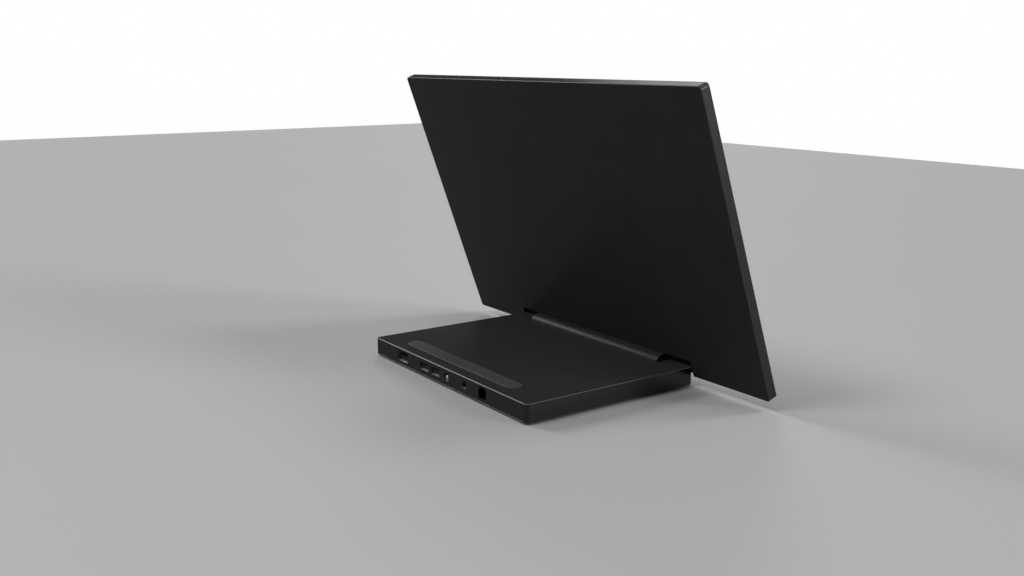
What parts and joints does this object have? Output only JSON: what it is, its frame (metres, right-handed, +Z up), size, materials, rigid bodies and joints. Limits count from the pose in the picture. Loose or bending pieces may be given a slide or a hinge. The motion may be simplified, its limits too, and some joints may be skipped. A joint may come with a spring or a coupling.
{
  "type": "foldable portable monitor",
  "caption": "Portable monitor whose display tilts on a wide hinge barrel over a flat base, folding down onto a rest pad; sockets line the base's front face.",
  "frame": {"origin": "under the middle of the whole object's box in the stored pose, on the floor that the feet stand on", "axes": "+Z up; +X along the hinge axis, towards the right end seen from the sockets; +Y from the socket face towards the hinge"},
  "size_m": [0.354, 0.1588, 0.2221],
  "materials": {
    "case_black": "gloss",
    "cover_black": "satin",
    "pad_rubber": "matte",
    "barrel_satin": "satin",
    "foot_rubber": "matte",
    "socket_metal": "satin",
    "socket_plastic": "satin",
    "steel_part": "satin",
    "screw_black": "satin",
    "board_green": "satin",
    "chip_black": "matte",
    "thermal_grey": "matte",
    "alloy_sheet": "satin",
    "cell_foil": "satin",
    "speaker_black": "matte",
    "cable_black": "satin",
    "screen_glass": "gloss",
    "tape_black": "matte",
    "lcd_glass": "gloss",
    "sheet_white": "satin",
    "guide_clear": "gloss",
    "led_yellow": "satin"
  },
  "bodies": {
    "base": {"base_top_shell": "case_black", "base_bottom_cover": "cover_black", "front_rest_pad": "pad_rubber", "base_feet": "foot_rubber", "video_port_shell": "socket_metal", "usb_port_shells": "socket_metal", "audio_jack_ring": "socket_metal", "dc_jack_pin": "socket_metal", "video_port_tongue": "socket_plastic", "usb_port_tongues": "socket_plastic", "dc_jack_housing": "socket_plastic", "audio_jack_housing": "socket_plastic", "upstream_port_housing": "socket_plastic", "upstream_port_tongue": "socket_plastic", "hinge_block_left": "steel_part", "hinge_block_right": "steel_part", "friction_clips_left": "steel_part", "friction_clips_right": "steel_part", "bottom_cover_screws": "screw_black", "board_screws": "screw_black", "main_board": "board_green", "key_board": "board_green", "board_chips": "chip_black", "thermal_pad": "thermal_grey", "heat_spreader": "alloy_sheet", "battery_cells": "cell_foil", "speaker_left": "speaker_black", "speaker_right": "speaker_black", "base_cable": "cable_black"},
    "display": {"display_back_cover": "case_black", "display_front_frame": "case_black", "cover_glass": "screen_glass", "glass_tape": "tape_black", "lcd_cell": "lcd_glass", "diffuser_sheet": "sheet_white", "light_guide": "guide_clear", "reflector_sheet": "sheet_white", "led_strip": "led_yellow", "panel_tray": "alloy_sheet", "tcon_board": "board_green", "tcon_chips": "chip_black", "display_cable": "cable_black", "hinge_barrel_cover": "barrel_satin", "hinge_arm_left": "steel_part", "hinge_arm_right": "steel_part", "hinge_shaft_left": "steel_part", "hinge_shaft_right": "steel_part", "hinge_screws": "screw_black"},
    "power_key": {"power_key": "case_black"},
    "menu_key": {"menu_key": "case_black"}
  },
  "joints": [
    {"name": "display_hinge", "type": "hinge", "parent": "base", "child": "display", "pos_m": [0, 0.06574, 0.0113], "axis": [1, 0, 0], "range_deg": [-30, 70]},
    {"name": "power_key_press", "type": "slide", "parent": "base", "child": "power_key", "axis": [1, 0, 0], "range_m": [0, 0.0004], "stiffness_N_per_m": 3000, "springref_m": -0.0003},
    {"name": "menu_key_press", "type": "slide", "parent": "base", "child": "menu_key", "axis": [1, 0, 0], "range_m": [0, 0.0004], "stiffness_N_per_m": 3000, "springref_m": -0.0003}
  ]
}
